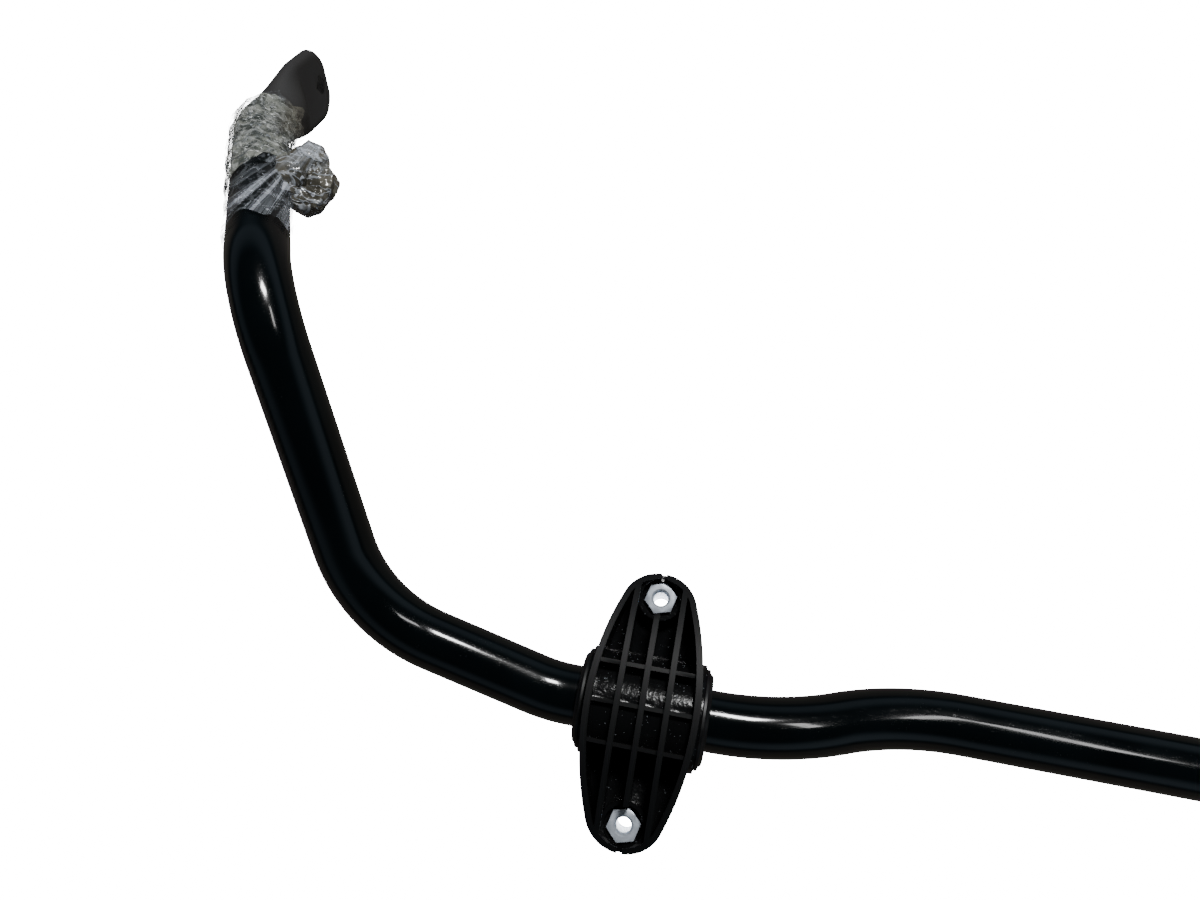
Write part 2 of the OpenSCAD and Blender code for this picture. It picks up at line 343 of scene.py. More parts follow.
def bush_rubber(colour):
    """Matte rubber with a little bloom."""
    look = Look("bush_rubber")
    bloom = look.noise(120, 4).step(0.45, 0.8)
    grain = look.noise(1300, 3)
    tone = look.mix(bloom, colour, [c * 3.2 for c in colour])
    return look.surface(
        {"IOR": 1.52}, base_color=tone, roughness=0.42 + bloom * 0.2, normal=look.bump(grain, 0.00006, 0.6)
    )


def plated_steel(name, colour, rough, metal):
    """Bright zinc plating with soft clouding and fine tool marks."""
    look = Look(name)
    cloud = look.noise(260, 4)
    marks = look.noise(500, 2, stretch=((0, 0, 0.5), (1, 14, 14)))
    tone = look.mix(cloud.step(0.3, 0.75), [c * 0.82 for c in colour], colour)
    return look.surface(
        {"Metallic": metal}, base_color=tone, roughness=rough + cloud * 0.14,
        normal=look.bump(marks * 0.6 + cloud, 0.00003, 0.5),
    )


def in_pull_plane(place):
    """Distances across and along the tilted plane in which the film is pulled sideways."""
    return place.x - PULL_LEAN.x * place.z, place.y + PULL_LEAN.y * place.z


def pull_offsets(look, knot):
    """Distances from the point the film is pulled to, in the plane of the pull."""
    x = look.axis("X") - look.axis("Z") * PULL_LEAN.x
    y = look.axis("Y") + look.axis("Z") * PULL_LEAN.y
    middle = in_pull_plane(knot)
    return middle[0] - x, y - middle[1]


def pull_lines(look, knot):
    """Lines that fan out over the film from the point it is pulled to, and the zone they fill."""
    dx, dy = pull_offsets(look, knot)
    angle = look.math("ARCTAN2", dy, dx)
    reach = look.math("SQRT", dx * dx + dy * dy)
    spread = look.add("CombineXYZ", {}, {"X": angle * 13.0, "Y": reach * 14.0})
    lines = look.add("TexNoise", {}, {"Vector": spread, "Scale": 1.0, "Detail": 3.0, "Roughness": 0.5})
    bands = lines.step(0.51, 0.6) * 0.75 + lines.peak().step(0.9, 0.98) * 0.4
    return bands.clamped(), 1.0 - angle.step(-0.9, -0.78)


def bubble_look():
    """Crumpled bubble wrap: milky patches and clear ones, with painted highlights: whiter creases and
    small white painted glints.
    """
    look = Look("bubble_film")
    patch = look.noise(105, 3, 0.5, None, 1.2).step(0.38, 0.62)
    crease = look.noise(130, 3, 0.5, None, 0.8).peak().step(0.88, 0.995)
    painted_glints = look.noise(330, 2, 0.5, ((0.2, 0.5, 0.9), (1, 2.2, 1)), 0.6).step(0.6, 0.67)
    tone = look.mix(patch, (0.2, 0.225, 0.195), (0.55, 0.57, 0.5))
    # painted highlights: white on the creases and at the painted glints
    tone = look.mix((crease * 0.55 + painted_glints).clamped(), tone, (0.98, 1.0, 0.97))
    alpha = (0.42 + patch * 0.33 + crease * 0.2 + painted_glints * 0.5).clamped()
    height = patch * 0.8 + crease * 0.6 + look.noise(900, 2) * 0.15
    return look.surface(
        {"IOR": 1.5, "Coat Weight": 0.5, "Coat Roughness": 0.08},
        base_color=tone, roughness=0.22 + patch * 0.15, alpha=alpha, normal=look.bump(height, 0.0008, 0.8),
    )


def film_look(white, knot):
    """Stretch film: nearly clear, with real pull lines that fan out from the bunched end, painted white
    along them and on the folds as painted highlights, plus painted glints and a painted highlight patch.
    """
    look = Look("stretched_film")
    lines, low = pull_lines(look, knot)
    dx, dy = pull_offsets(look, knot)
    tan = dy.step(-0.02, -0.008) * (1.0 - dx.step(0.022, 0.036))
    fold = look.noise(120, 3, 0.5, None, 0.8).peak().step(0.9, 0.995)
    painted_glints = look.noise(420, 2).step(0.65, 0.7)
    pull = lines * (0.16 + low * 0.84)
    # painted highlight: a small bright patch where a flat facet of the film would reflect the lamp
    glint_x = dx - GLINT_PATCH_PLACE.x
    glint_y = dy - GLINT_PATCH_PLACE.y - glint_x * 0.12
    glint_long = 1.0 - look.math("ABSOLUTE", glint_x).step(3.6 * MM, 4.2 * MM)
    glint_wide = 1.0 - look.math("ABSOLUTE", glint_y).step(1.6 * MM, 2.1 * MM)
    glint_patch = glint_long * glint_wide
    # painted highlights: white along the pull lines and folds, the painted glints and the highlight patch
    shine = (pull * 0.95 + fold * 0.4 + painted_glints * 0.5 + glint_patch).clamped()
    tone = look.mix(shine, (0.12, 0.135, 0.15), white)
    tone = look.mix(tan * 0.7, tone, (0.42, 0.38, 0.27))
    alpha = (0.06 + low * 0.05 + pull * 0.78 + fold * 0.18 + painted_glints * 0.35 + tan * 0.3 + glint_patch).clamped()
    height = lines * 1.5 + fold * 0.5 + look.noise(1300, 2) * 0.1
    return look.surface(
        {"IOR": 1.5, "Coat Weight": 0.7, "Coat Roughness": 0.04},
        base_color=tone, roughness=0.16 + fold * 0.1, alpha=alpha, normal=look.bump(height, 0.0007, 0.8),
    )


def bunch_look(tone, white, knot):
    """The bunched film: many layers deep, so browner and nearly solid, with painted highlights on its
    folds, pull lines and glints.
    """
    look = Look("bunched_film")
    lines, low = pull_lines(look, knot)
    patch = look.noise(90, 2, 0.5, None, 0.6).step(0.36, 0.64)
    fold = look.noise(80, 2, 0.45, ((0.5, 0.2, 0.3), (1, 2.4, 1.6)), 0.6).peak().step(0.92, 0.995)
    painted_glints = look.noise(330, 1).step(0.68, 0.72)
    top = pull_offsets(look, knot)[1].step(-0.038, -0.022)
    shade = look.mix(patch, [c * 0.6 for c in tone], [c * 1.3 for c in tone])
    # painted highlights: white on the folds, at the painted glints and along the pull lines near the top
    shade = look.mix((fold * 0.5 + painted_glints * 0.7 + lines * top * 0.75).clamped(), shade, white)
    alpha = (0.975 + patch * 0.02 - painted_glints * 0.02).clamped()
    height = patch + fold * 0.7
    return look.surface(
        {"IOR": 1.5, "Coat Weight": 0.8, "Coat Roughness": 0.05},
        base_color=shade, roughness=0.18 + patch * 0.1, alpha=alpha, normal=look.bump(height, 0.0006, 0.7),
    )


# ------------------------------------------------------------------ mesh helpers


def settings():
    return bpy.context.scene.stabiliser_bar


def finish(bm, name, body, material, stands_for=(), sharp=35, closed=True):
    """Makes a mesh object of a bmesh, shades it, gives it its finish and lets it ride on its body."""
    if closed:
        bmesh.ops.recalc_face_normals(bm, faces=bm.faces)
    mesh = bpy.data.meshes.new(name)
    bm.to_mesh(mesh)
    bm.free()
    if not mesh.polygons:
        raise RuntimeError(name + " has no faces")
    mesh.shade_smooth()
    mesh.set_sharp_from_angle(angle=math.radians(sharp))
    mesh.materials.append(material)
    piece = bpy.data.objects.new(name, mesh)
    bpy.context.scene.collection.objects.link(piece)
    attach(piece, body)
    if stands_for:
        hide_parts(*stands_for)
    return piece


def repaint(node, material):
    """Gives a CAD node its finish."""
    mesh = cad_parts[node].data
    mesh.materials.clear()
    mesh.materials.append(material)


def edges_between(verts):
    verts = set(verts)
    return [e for e in {e for v in verts for e in v.link_edges} if all(v in verts for v in e.verts)]


def ring_at(bm, place, direction, radius, sides):
    """A circle of edges round a point, square to a direction."""
    turn = direction.to_track_quat("Z", "Y").to_matrix().to_4x4()
    where = Matrix.Translation(place) @ turn
    return bmesh.ops.create_circle(bm, segments=sides, radius=radius, matrix=where)["verts"]


def pull(bm, verts, move):
    """Extrudes a closed ring along a move, and returns the new ring."""
    made = bmesh.ops.extrude_edge_only(bm, edges=edges_between(verts))["geom"]
    new = [v for v in made if isinstance(v, bmesh.types.BMVert)]
    bmesh.ops.translate(bm, verts=new, vec=move)
    return new


def next_ring(bm, order):
    """Extrudes a ring given as vertex: angle, and returns the new ring in the same way."""
    before = {tuple(round(c, 9) for c in v.co): a for v, a in order.items()}
    made = bmesh.ops.extrude_edge_only(bm, edges=edges_between(order))["geom"]
    new = [v for v in made if isinstance(v, bmesh.types.BMVert)]
    return {v: before[tuple(round(c, 9) for c in v.co)] for v in new}


def run(bm, verts, move, step):
    """Extrudes a ring along a straight run in even steps."""
    count = max(1, round(move.length / step))
    for _ in range(count):
        verts = pull(bm, verts, move / count)
    return verts


def corner_turn(points, i):
    """Direction in, direction out and angle at a corner."""
    u = (points[i] - points[i - 1]).normalized()
    v = (points[i + 1] - points[i]).normalized()
    return u, v, u.angle(v)


def setback(points, i):
    return BENDS[i] * math.tan(corner_turn(points, i)[2] / 2)


def bend(bm, verts, points, i, step):
    """Spins a ring round one corner of the path."""
    u, v, angle = corner_turn(points, i)
    side = (v - v.dot(u) * u).normalized()
    centre = points[i] - u * setback(points, i) + side * BENDS[i]
    steps = max(4, round(BENDS[i] * angle / step))
    made = bmesh.ops.spin(
        bm, geom=verts + edges_between(verts), cent=centre, axis=u.cross(v).normalized(), angle=angle,
        steps=steps, use_duplicate=False,
    )
    return [v for v in made["geom_last"] if isinstance(v, bmesh.types.BMVert)]


def arm_points(side):
    return [Vector((p.x * side, p.y, p.z)) for p in CORNERS]


class FlatEnd:
    """Axes and section of the flattened end of one arm."""

    def __init__(self, side, props):
        points = arm_points(side)
        facing = Vector((FLAT_FACING.x * side, FLAT_FACING.y, FLAT_FACING.z))
        self.origin = points[FLAT_START]
        self.along = (points[FLAT_START] - points[WRAP_BEND]).normalized()
        self.facing = (facing - facing.dot(self.along) * self.along).normalized()
        self.across = self.facing.cross(self.along)
        self.props = props

    def local(self, point):
        """Distances along, across and through."""
        d = point - self.origin
        return Vector((d.dot(self.along), d.dot(self.across), d.dot(self.facing)))

    def world(self, u, w, n):
        return self.origin + self.along * u + self.across * w + self.facing * n

    def half_width(self, u):
        p = self.props
        beyond = max(0.0, u - (p.flat_length - p.corner))
        return p.flat_width / 2 - p.corner + math.sqrt(max(0.0, p.corner**2 - beyond**2))

    def half_thickness(self, u):
        """Half the thickness, rounded over at the tip."""
        r = 2.2 * MM
        beyond = max(0.0, u - (self.props.flat_length - r))
        return self.props.flat_thickness / 2 - r + math.sqrt(max(0.0, r * r - beyond**2))

    def flat_section(self, angle, u):
        """Point of the round-sided flat section for an angle round the tube."""
        half_w, half_t = self.half_width(u), self.half_thickness(u)
        straight = half_w - half_t
        arc = half_t * math.pi / 2
        quarter, share = divmod((angle % (2 * math.pi)) / (math.pi / 2), 1.0)
        if quarter % 2:
            share = 1 - share
        way = share * (straight + arc)
        if way < arc:
            w, n = straight + half_t * math.cos(way / half_t), half_t * math.sin(way / half_t)
        else:
            w, n = straight - (way - arc), half_t
        return w * (-1 if quarter in (1, 2) else 1), n * (-1 if quarter in (2, 3) else 1)

    def section(self, angle, u):
        """Point of the section at u: round at the end of the tube, flat from the start of the flat."""
        share = min(1.0, max(0.0, 1 + u / SHOULDER))
        ease = share * share * (1.55 - 0.55 * share)
        widen = share * (1.5 - 0.5 * share)
        round_w, round_n = TUBE_R * math.cos(angle), TUBE_R * math.sin(angle)
        flat_w, flat_n = self.flat_section(angle, max(0.0, u))
        w = round_w + (flat_w - round_w) * widen
        return self.world(u, w, round_n + (flat_n - round_n) * ease)


def pierce(bm, end):
    """Cuts the link eye through the flat: a bore with broken edges."""
    p = end.props
    reach, sides = 8 * MM, 32
    openings = []
    for face_side in (1, -1):
        patch = []
        for f in bm.faces:
            u, w, n = end.local(f.calc_center_median())
            quarter = end.half_width(u) + 2.3 * MM
            if abs(u - p.eye_at) < reach and abs(w) < quarter * 6 / 16 and n * face_side > 3.5 * MM:
                patch.append(f)
        rim = {e for f in patch for e in f.edges if not all(g in patch for g in e.link_faces)}
        bmesh.ops.delete(bm, geom=patch, context="FACES")
        centre = end.world(p.eye_at, 0, face_side * p.flat_thickness / 2)
        circle = ring_at(bm, centre, end.facing, p.eye_radius, sides)
        bmesh.ops.bridge_loops(bm, edges=list(rim) + edges_between(circle))
        openings.append(circle)
    mouths = edges_between(openings[0]) + edges_between(openings[1])
    bmesh.ops.bridge_loops(bm, edges=mouths)
    bmesh.ops.bevel(
        bm, geom=mouths, offset=0.7 * MM, affect="EDGES", segments=2, profile=0.5, material=-1,
        clamp_overlap=True,
    )


def bar_half(bm, side, props):
    """One half of the bar, from the middle of the span to its flat end."""
    points = arm_points(side)
    verts = ring_at(bm, points[0], Vector((side, 0, 0)), TUBE_R, props.ring)
    place = points[0]
    for i in range(1, FLAT_START):
        u = corner_turn(points, i)[0]
        start = points[i] - u * setback(points, i)
        verts = run(bm, verts, start - place, 12 * MM)
        verts = bend(bm, verts, points, i, 3 * MM)
        place = points[i] + corner_turn(points, i)[1] * setback(points, i)
    end = FlatEnd(side, props)
    tube_end = end.origin - end.along * SHOULDER
    verts = run(bm, verts, tube_end - place, 4 * MM)
    step = 2 * math.pi / props.ring
    angles = [math.atan2(*reversed(end.local(v.co)[1:])) for v in verts]
    offset = angles[0] - round(angles[0] / step) * step
    angles = [a - offset for a in angles]
    order = {v: a for v, a in zip(verts, angles)}
    shoulder = [SHOULDER * (k / 15 - 1) for k in range(1, 16)]
    flat = [k * MM for k in (3, 6, 10, 14, 18, 22, 26, 30, 34, 35.6, 36.4, 37, 37.5, 37.8, 37.95, 38)]
    for u in shoulder + flat:
        order = next_ring(bm, order)
        for v, angle in order.items():
            v.co = end.section(angle, u)
    bmesh.ops.contextual_create(bm, geom=edges_between(order))
    pierce(bm, end)


# ------------------------------------------------------------------ operators


class BuildBar(bpy.types.Operator):
    """Model the bent tube with its flattened, drilled ends"""

    bl_idname = "stabiliser.bar"
    bl_label = "Bar"

    def execute(self, context):
        props = settings().bar
        bm = bmesh.new()
        for side in SIDES.values():
            bar_half(bm, side, props)
        bmesh.ops.remove_doubles(bm, verts=bm.verts, dist=0.01 * MM)
        finish(bm, "bent_bar", "bar", bar_paint(props.colour), ["stabilizer_bar"], 28)
        return {"FINISHED"}


class BuildClamps(bpy.types.Operator):
    """Model the ribbed clamps and the base clamps with rounded moulded edges"""

    bl_idname = "stabiliser.clamps"
    bl_label = "Clamps"

    def execute(self, context):
        props = settings().clamp
        plastic = clamp_plastic(props.colour)
        for side in SIDES:
            for part in ("ribbed_clamp", "base_clamp"):
                node = f"{side}_{part}"
                bm = bmesh.new()
                bm.from_mesh(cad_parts[node].data)
                bmesh.ops.remove_doubles(bm, verts=bm.verts, dist=0.004 * MM)
                bmesh.ops.dissolve_limit(
                    bm, angle_limit=math.radians(1.5), verts=bm.verts, edges=bm.edges,
                    use_dissolve_boundaries=False,
                )
                piece = finish(
                    bm, f"moulded_{node}", f"{side}_bracket", plastic, [node], 32, False
                )
                rounding = piece.modifiers.new("moulded_edges", "BEVEL")
                rounding.width = props.edge
                rounding.segments = 2
                rounding.limit_method = "ANGLE"
                rounding.angle_limit = math.radians(38)
                rounding.use_clamp_overlap = True
                rounding.harden_normals = False
        return {"FINISHED"}


class BuildBushes(bpy.types.Operator):
    """Model the split rubber bushes with their rims"""

    bl_idname = "stabiliser.bushes"
    bl_label = "Bushes"

    def execute(self, context):
        props = settings().rubber
        rubber = bush_rubber(props.colour)
        steel = plated_steel("insert_steel", (0.5, 0.5, 0.52), 0.3, 1.0)
        split = math.asin(0.1 * MM / props.bore)
        lip, rim_low, rim_high, end = 25.6 * MM, 27.4 * MM, 27.9 * MM, 29 * MM
        half = [
            (0, props.outer), (24.6 * MM, props.outer), (lip, props.outer), (lip, props.rim - 0.4 * MM),
            (lip + 0.4 * MM, props.rim), (rim_low - 0.4 * MM, props.rim), (rim_low, props.rim - 0.4 * MM),
            (rim_low, 20.9 * MM), (rim_high, 20.2 * MM), (end - 0.8 * MM, 20.0 * MM),
            (end - 0.2 * MM, 19.5 * MM), (end, 18.9 * MM), (end, 14.6 * MM), (end - 0.5 * MM, props.bore),
        ]
        outline = [(-x, r) for x, r in reversed(half[1:])] + half
        for side, sign in SIDES.items():
            for part, up in (("upper", 1), ("lower", -1)):
                bm = bmesh.new()
                centre = Vector((sign * CLAMP_X, 0, AXIS_Z))
                verts = [bm.verts.new(centre + Vector((x, r, 0))) for x, r in outline]
                loop = [bm.edges.new((a, b)) for a, b in zip(verts, verts[1:] + verts[:1])]
                bmesh.ops.rotate(bm, verts=verts, cent=centre, matrix=Matrix.Rotation(up * split, 3, "X"))
                half_turn = up * (math.pi - 2 * split)
                bmesh.ops.spin(
                    bm, geom=verts + loop, cent=centre, axis=(1, 0, 0), angle=half_turn, steps=48
                )
                rim = [e for e in bm.edges if e.is_boundary]
                bmesh.ops.holes_fill(bm, edges=rim)
                node = f"{side}_bush_{part}"
                finish(bm, f"rubber_{node}", f"{side}_bracket", rubber, [node], 40)
                repaint(f"{side}_insert_{part}", steel)
        return {"FINISHED"}


def hex_radius(angle, flats):
    """Distance of a hexagon's side from its centre."""
    turn = (angle + math.pi / 6) % (math.pi / 3) - math.pi / 6
    return flats / 2 / math.cos(turn)


class BuildNuts(bpy.types.Operator):
    """Model the captive hex nuts with chamfered corners and thread rings, and finish the sleeves"""

    bl_idname = "stabiliser.nuts"
    bl_label = "Nuts and sleeves"

    def execute(self, context):
        props = settings().nut
        zinc = plated_steel("zinc_plating", props.colour, 0.36, 0.35)
        for side in SIDES:
            for end in ("front", "rear"):
                low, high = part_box(f"{side}_nut_{end}")
                self.nut(f"{side}_nut_{end}", side, (low + high) / 2, low.z, props, zinc)
                repaint(f"{side}_sleeve_{end}", zinc)
        return {"FINISHED"}

    def nut(self, node, side, middle, floor, props, zinc):
        sides, top = 96, props.height
        chamfer, slope = props.flats / 2 * 0.985, math.tan(math.radians(28))
        turned = math.radians(15)
        shoulder = chamfer - 0.5 * MM
        edge = 0.08 * MM

        def hexagon(upper, grow):
            def place(angle):
                reach = hex_radius(angle, props.flats) + grow
                drop = max(0.0, reach - chamfer) * slope
                return reach, (top - drop if upper else drop)
            return place

        def circle(radius, z):
            return lambda angle: (radius, z)

        rings = [circle(4.3 * MM, 0.0), circle(shoulder, 0.0), hexagon(False, -edge), hexagon(False, 0)]
        rings += [hexagon(True, 0), hexagon(True, -edge), circle(shoulder, top)]
        rings += [circle(props.mouth + 0.15 * MM, top), circle(props.mouth, top - edge)]
        rings += [circle(props.bore + 0.1 * MM, top - 0.75 * MM)]
        threads = int((top - 1.6 * MM) / props.pitch)
        for k in range(threads):
            base = top - 0.8 * MM - k * props.pitch
            rings += [circle(props.bore, base - 0.15 * MM)]
            rings += [circle(props.bore + 0.55 * MM, base - props.pitch * 0.55)]
        rings += [circle(props.bore, 0.7 * MM)]
        bm = bmesh.new()
        centre = Vector((middle.x, middle.y, floor))
        first = bmesh.ops.create_circle(bm, segments=sides, radius=1.0)["verts"]
        order = {v: math.atan2(v.co.y, v.co.x) for v in first}
        for k, ring in enumerate(rings + rings[:1]):
            order = next_ring(bm, order) if k else order
            for v, angle in order.items():
                reach, z = ring(angle + turned)
                v.co = centre + Vector((reach * math.cos(angle), reach * math.sin(angle), z))
        bmesh.ops.remove_doubles(bm, verts=bm.verts, dist=0.002 * MM)
        finish(bm, f"hex_{node}", f"{side}_bracket", zinc, [node], 24)


# ------------------------------------------------------------------ wrapping


def wrap_tube(bm, radius, lead, tail, step, sides):
    """A fine tube round the wrapped stretch of the left arm.

    Each row holds a vertex, its way along, the whole length, its angle round the arm, the outward
    direction, the point on the arm's middle and the direction of the arm there.
    """
    points = arm_points(-1)
    u, v, angle = corner_turn(points, WRAP_BEND)
    start = points[CREST] + u * (setback(points, CREST) + lead)
    bend_start = points[WRAP_BEND] - u * setback(points, WRAP_BEND)
    bend_end = points[WRAP_BEND] + v * setback(points, WRAP_BEND)
    verts = ring_at(bm, start, u, radius, sides)
    verts = run(bm, verts, bend_start - start, step)
    verts = bend(bm, verts, points, WRAP_BEND, step)
    run(bm, verts, v * tail, step)
    straight, arc = (bend_start - start).length, BENDS[WRAP_BEND] * angle
    total = straight + arc + tail
    facing = FlatEnd(-1, settings().bar).facing
    rows = []
    for vert in bm.verts:
        p = vert.co
        if (p - bend_start).dot(u) <= 1e-7:
            way, direction = (p - start).dot(u), u
            middle = start + u * way
        elif (p - bend_end).dot(v) >= -1e-7:
            way, direction = (p - bend_end).dot(v), v
            middle = bend_end + v * way
            way += straight + arc
        else:
            side = (v - v.dot(u) * u).normalized()
            centre = bend_start + side * BENDS[WRAP_BEND]
            d = p - centre
            turn = math.atan2(d.dot(u), -d.dot(side))
            middle = centre + (u * math.sin(turn) - side * math.cos(turn)) * BENDS[WRAP_BEND]
            direction = u * math.cos(turn) + side * math.sin(turn)
            way = straight + turn * BENDS[WRAP_BEND]
        outward = (p - middle).normalized()
        across = (facing - facing.dot(direction) * direction).normalized()
        round_angle = math.atan2(outward.dot(direction.cross(across)), outward.dot(across))
        rows.append((vert, way, total, round_angle, outward, middle, direction))
    return rows


def crease(p, size, seed):
    """A noise that is sharp along its creases, from 0 to 1."""
    q = Vector(p) / size + Vector((seed, 3.7 * seed, 7.1 * seed))
    return 1 - abs(noise.noise(q)) * 2


def bubble_lift(way, across, props):
    """Height of the bubble layer: domes in staggered rows, some of them pressed flat."""
    pitch = props.bubble_pitch
    row = round(way / (pitch * 0.866))
    shift = pitch / 2 if row % 2 else 0
    column = round((across - shift) / pitch)
    dx = across - shift - column * pitch
    dy = way - row * pitch * 0.866
    reach = math.hypot(dx, dy) / (pitch * 0.46)
    press = 0.55 + 0.45 * noise.noise(Vector((row * 1.7, column * 2.3, 0.5)))
    dome = math.sqrt(max(0.0, 1 - reach * reach)) if reach < 1 else 0.0
    crushed = crease((way, across, 0.0), 7 * MM, 4.0)
    return props.bubble_height * (0.4 * dome * press + 0.6 * crushed)


class BuildWrap(bpy.types.Operator):
    """Model the bubble wrap, the stretched film over it and the bunched end of the film"""

    bl_idname = "stabiliser.wrap"
    bl_label = "Wrapping"

    def execute(self, context):
        props = settings().wrap
        low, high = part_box("film_knot")
        knot = (low + high) / 2 + Vector((7.4, 33.8, 11.8)) * MM
        bubbles = self.bubbles(props)
        film = self.film(props, knot)
        bunch = self.bunch(props, knot)
        return {"FINISHED"}

    def bubbles(self, props):
        bm = bmesh.new()
        rows = wrap_tube(bm, TUBE_R + 0.4 * MM, 58 * MM, 4 * MM, props.mesh_step, 132)
        for vert, way, total, angle, outward, middle, direction in rows:
            lift = bubble_lift(way, angle * WRAP_R, props)
            slack = noise.noise(vert.co / (14 * MM)) * 0.6 * MM
            edge = max(0.0, 1 - min(way, total - way) / (9 * MM))
            ragged = noise.noise(Vector((angle * 2.2, 8.0, 3.0))) * 4 * MM * edge
            slant = max(0.0, 1 - way / (40 * MM)) * outward.x * 16 * MM
            reach = TUBE_R + 0.7 * MM + max(-0.2 * MM, slack) + lift
            vert.co = middle + outward * reach + direction * (ragged + slant)
        return finish(bm, "bubble_sleeve", "bar", bubble_look(), ["bubble_wrap"], 60, False)

    def film(self, props, knot):
        low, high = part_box("film_knot")
        gathered = Vector((low.x, (low.y + high.y) / 2, high.z))
        bm = bmesh.new()
        rows = wrap_tube(bm, TUBE_R + 2.6 * MM, 8 * MM, 6 * MM, props.mesh_step, 168)
        for vert, way, total, angle, outward, middle, direction in rows:
            snug = max(0.0, min(1.0, (way - 30 * MM) / (22 * MM)))
            snug = snug * snug * (3 - 2 * snug)
            surface = middle + outward * (TUBE_R + (0.7 + 1.6 * snug) * MM)
            here, middle_of_pull = in_pull_plane(surface), in_pull_plane(knot)
            flat_turn = math.atan2(here[1] - middle_of_pull[1], middle_of_pull[0] - here[0])
            pull_line = crease((flat_turn * 22 * MM, 0, (surface - knot).length * 0.12), 2.3 * MM, 1.0)
            broad = crease(surface, 10 * MM, 2.0)
            crumple = crease(surface, 4.5 * MM, 3.0)
            lift = (0.9 * pull_line * (1.2 - snug) + (1.1 * broad + 0.8 * crumple - 0.8) * snug) * MM
            near = math.exp(-((surface - gathered).length / (17 * MM)) ** 2)
            toward = (gathered - surface).normalized()
            flare = max(0.0, (way / total - 0.9) / 0.1)
            flap = max(0.0, noise.noise(Vector((angle * 1.9, 4.0, 1.0)))) * 16 * MM * flare * flare
            start = max(0.0, 1 - way / (8 * MM)) * noise.noise(Vector((angle * 1.5, 2.0, 6.0))) * 5 * MM
            vert.co = surface + outward * lift + toward * near * 7 * MM + direction * (flap + start)
        look = film_look(props.colour, knot)
        return finish(bm, "film_sleeve", "bar", look, ["stretch_film"], 60, False)

    def bunch(self, props, knot):
        """The bunched end: folded lobes of film gathered beside the arm."""
        low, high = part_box("film_knot")
        size = high - low
        # place as shares of the knot's box, radius, and stretch along each axis
        lobes = [
            ((0.30, 0.76, 0.70), 10.0 * MM, (1.05, 1.1, 0.9)),
            ((0.62, 0.52, 0.55), 8.6 * MM, (0.95, 1.1, 0.9)),
            ((0.50, 0.24, 0.65), 8.4 * MM, (1.15, 0.95, 0.9)),
            ((0.08, 0.26, 0.95), 6.4 * MM, (1.3, 0.85, 0.8)),
            ((0.12, 0.52, 0.95), 8.4 * MM, (1.2, 1.1, 0.8)),
        ]
        bm = bmesh.new()
        for k, (share, radius, shape) in enumerate(lobes):
            place = low + Vector((size[i] * share[i] for i in range(3)))
            made = bmesh.ops.create_icosphere(bm, subdivisions=5, radius=radius)["verts"]
            for v in made:
                d = v.co.normalized()
                fold = crease(d * 9 * MM + place, 8 * MM, k + 5.0)
                small = crease(d * 9 * MM + place, 3.2 * MM, k + 9.0)
                reach = radius * (0.82 + 0.2 * fold + 0.04 * small)
                v.co = place + Vector((d.x * shape[0], d.y * shape[1], d.z * shape[2])) * reach
        look = bunch_look(props.bunch, props.colour, knot)
        return finish(bm, "film_bunch", "bar", look, ["film_knot"], 60, True)


# ------------------------------------------------------------------ stage


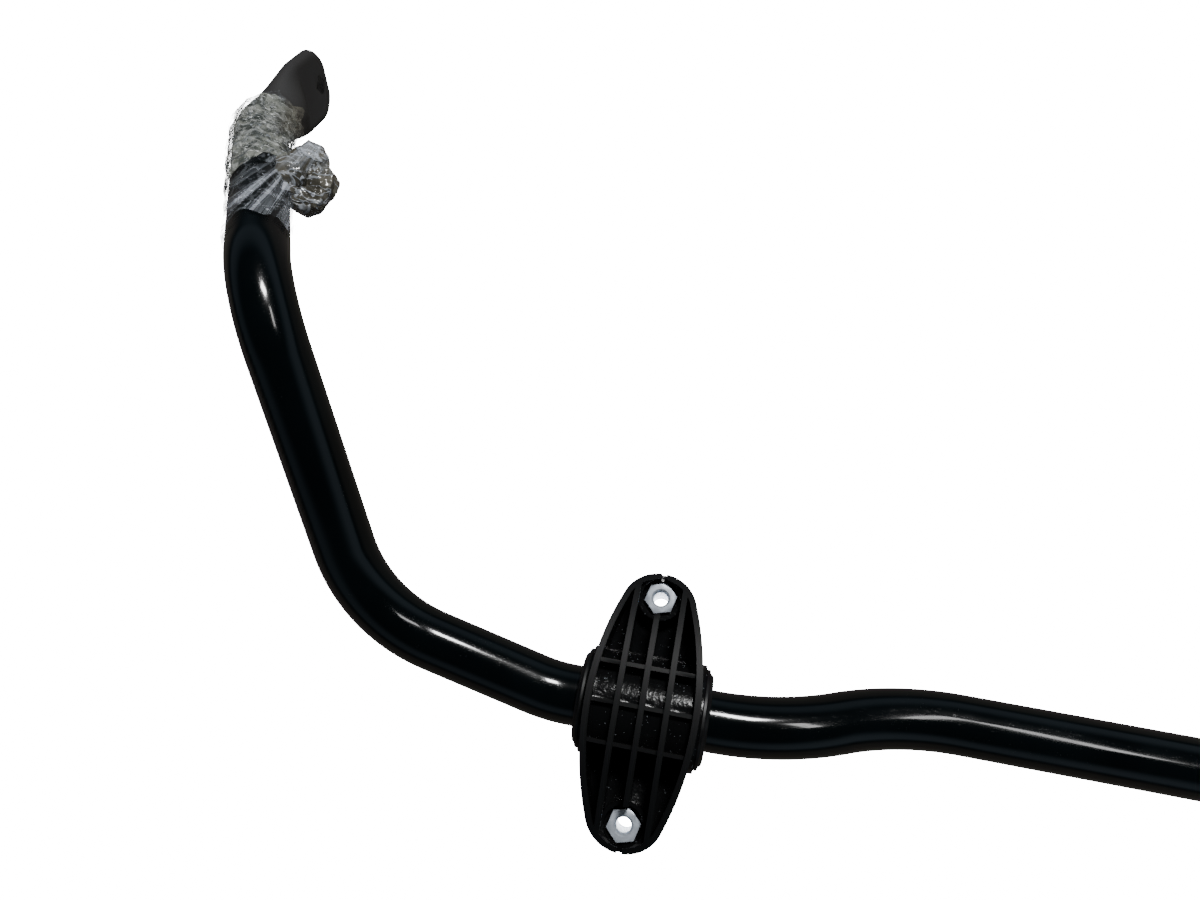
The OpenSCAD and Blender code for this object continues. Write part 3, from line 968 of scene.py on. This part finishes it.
class BuildStage(bpy.types.Operator):
    """Set the floor, the lights and the camera"""

    bl_idname = "stabiliser.stage"
    bl_label = "Stage"

    def execute(self, context):
        props = settings().stage
        self.floor(props)
        self.lamp("ceiling_lamp", (0.02, 1.22, 2.2), (0.46, 0.34), props.lamp_power, (-0.4, 0.1, 0.05))
        self.lamp("span_lamp", (0.75, 0.55, 2.2), (0.7, 0.2), props.lamp_power * 0.1, (-0.2, 0.0, 0.0))
        for side in SIDES:
            for end in ("front", "rear"):
                low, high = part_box(f"{side}_sleeve_{end}")
                under = ((low.x + high.x) / 2, (low.y + high.y) / 2, 0.2 * MM)
                self.lamp(f"{side}_{end}_glow", under, (6 * MM, 6 * MM), 0.0012, (*under[:2], 1.0))
        self.room()
        self.camera()
        return {"FINISHED"}

    def floor(self, props):
        bm = bmesh.new()
        bmesh.ops.create_grid(bm, x_segments=2, y_segments=2, size=9)
        bmesh.ops.translate(bm, verts=bm.verts, vec=(0, 0, -0.3 * MM))
        mesh = bpy.data.meshes.new("floor")
        bm.to_mesh(mesh)
        bm.free()
        floor = bpy.data.objects.new("floor", mesh)
        bpy.context.scene.collection.objects.link(floor)
        look = Look("pale_floor")
        tone = look.mix(look.noise(3, 2), [c * 0.985 for c in props.floor], props.floor)
        mesh.materials.append(look.surface(
            {"Roughness": 0.9, "Emission Color": (1, 1, 1, 1), "Emission Strength": 22.0}, base_color=tone
        ))
        floor.visible_glossy = False
        floor.visible_diffuse = False

    def lamp(self, name, place, size, power, target):
        light = bpy.data.lights.new(name, "AREA")
        light.shape = "RECTANGLE"
        light.size, light.size_y = size
        light.energy = power
        lamp = bpy.data.objects.new(name, light)
        lamp.location = place
        lamp.rotation_euler = (Vector(target) - Vector(place)).to_track_quat("-Z", "Y").to_euler()
        bpy.context.scene.collection.objects.link(lamp)

    def room(self):
        """A dim room for reflections, pale where the camera sees past the floor."""
        world = bpy.data.worlds.new("room")
        look = Look("room", world)
        ray = look.add("LightPath", {}, {}, "Is Camera Ray")
        way = look.add("TexCoord", {}, {}, "Generated")
        height = look.add("SeparateXYZ", {}, {"Vector": way}, "Z")
        east = look.add("SeparateXYZ", {}, {"Vector": way}, "X")
        wall = height.step(-0.02, 0.16) * (1.0 - height.step(0.3, 0.62))
        ground = 1.0 - height.step(-0.25, 0.05)
        shade = look.mix(ground, (0.006, 0.010, 0.013), (0.075, 0.068, 0.062))
        shade = look.mix(wall * (0.45 + east.step(-0.6, 0.9) * 0.5), shade, (0.16, 0.2, 0.24))
        dim = look.add("Background", {}, {"Color": shade, "Strength": 1.0})
        pale = look.add("Background", {}, {"Color": (1, 1, 1, 1), "Strength": 22.0})
        mix = look.add("MixShader", {}, {0: ray, 1: dim, 2: pale})
        look.add("OutputWorld", {}, {"Surface": mix})
        bpy.context.scene.world = world

    def camera(self):
        data = bpy.data.cameras.new("camera")
        data.lens = 26.5
        data.sensor_width = 36
        data.clip_start, data.clip_end = 0.01, 60
        camera = bpy.data.objects.new("camera", data)
        right = CAMERA_FORWARD.cross(CAMERA_UP).normalized()
        up = right.cross(CAMERA_FORWARD)
        turn = Matrix((right, up, -CAMERA_FORWARD)).transposed()
        camera.matrix_world = Matrix.Translation(CAMERA_PLACE) @ turn.to_4x4()
        bpy.context.scene.collection.objects.link(camera)
        bpy.context.scene.camera = camera


# ------------------------------------------------------------------ add-on


class StabiliserBarProperties(bpy.types.PropertyGroup):
    """All settings of the stabiliser bar"""

    bar: PointerProperty(type=BarProperties)
    clamp: PointerProperty(type=ClampProperties)
    rubber: PointerProperty(type=RubberProperties)
    nut: PointerProperty(type=NutProperties)
    wrap: PointerProperty(type=WrapProperties)
    stage: PointerProperty(type=StageProperties)


OPERATORS = (BuildBar, BuildClamps, BuildBushes, BuildNuts, BuildWrap, BuildStage)


class StabiliserBarPanel(bpy.types.Panel):
    """Lists the pieces of the stabiliser bar"""

    bl_idname = "VIEW3D_PT_stabiliser_bar"
    bl_label = "Stabiliser bar"
    bl_space_type = "VIEW_3D"
    bl_region_type = "UI"
    bl_category = "Stabiliser bar"

    def draw(self, context):
        for operator in OPERATORS:
            self.layout.operator(operator.bl_idname)
        groups = context.scene.stabiliser_bar
        for name in ("bar", "clamp", "rubber", "nut", "wrap", "stage"):
            group = getattr(groups, name)
            box = self.layout.box()
            for key in group.__annotations__:
                box.prop(group, key)


CLASSES = (
    BarProperties, ClampProperties, RubberProperties, NutProperties, WrapProperties, StageProperties,
    StabiliserBarProperties, *OPERATORS, StabiliserBarPanel,
)


def register():
    for cls in CLASSES:
        bpy.utils.register_class(cls)
    bpy.types.Scene.stabiliser_bar = PointerProperty(type=StabiliserBarProperties)


def unregister():
    del bpy.types.Scene.stabiliser_bar
    for cls in reversed(CLASSES):
        bpy.utils.unregister_class(cls)


def main():
    register()
    bpy.ops.stabiliser.stage()
    bpy.ops.stabiliser.bar()
    bpy.ops.stabiliser.clamps()
    bpy.ops.stabiliser.bushes()
    bpy.ops.stabiliser.nuts()
    bpy.ops.stabiliser.wrap()


if __name__ == "__main__":
    main()
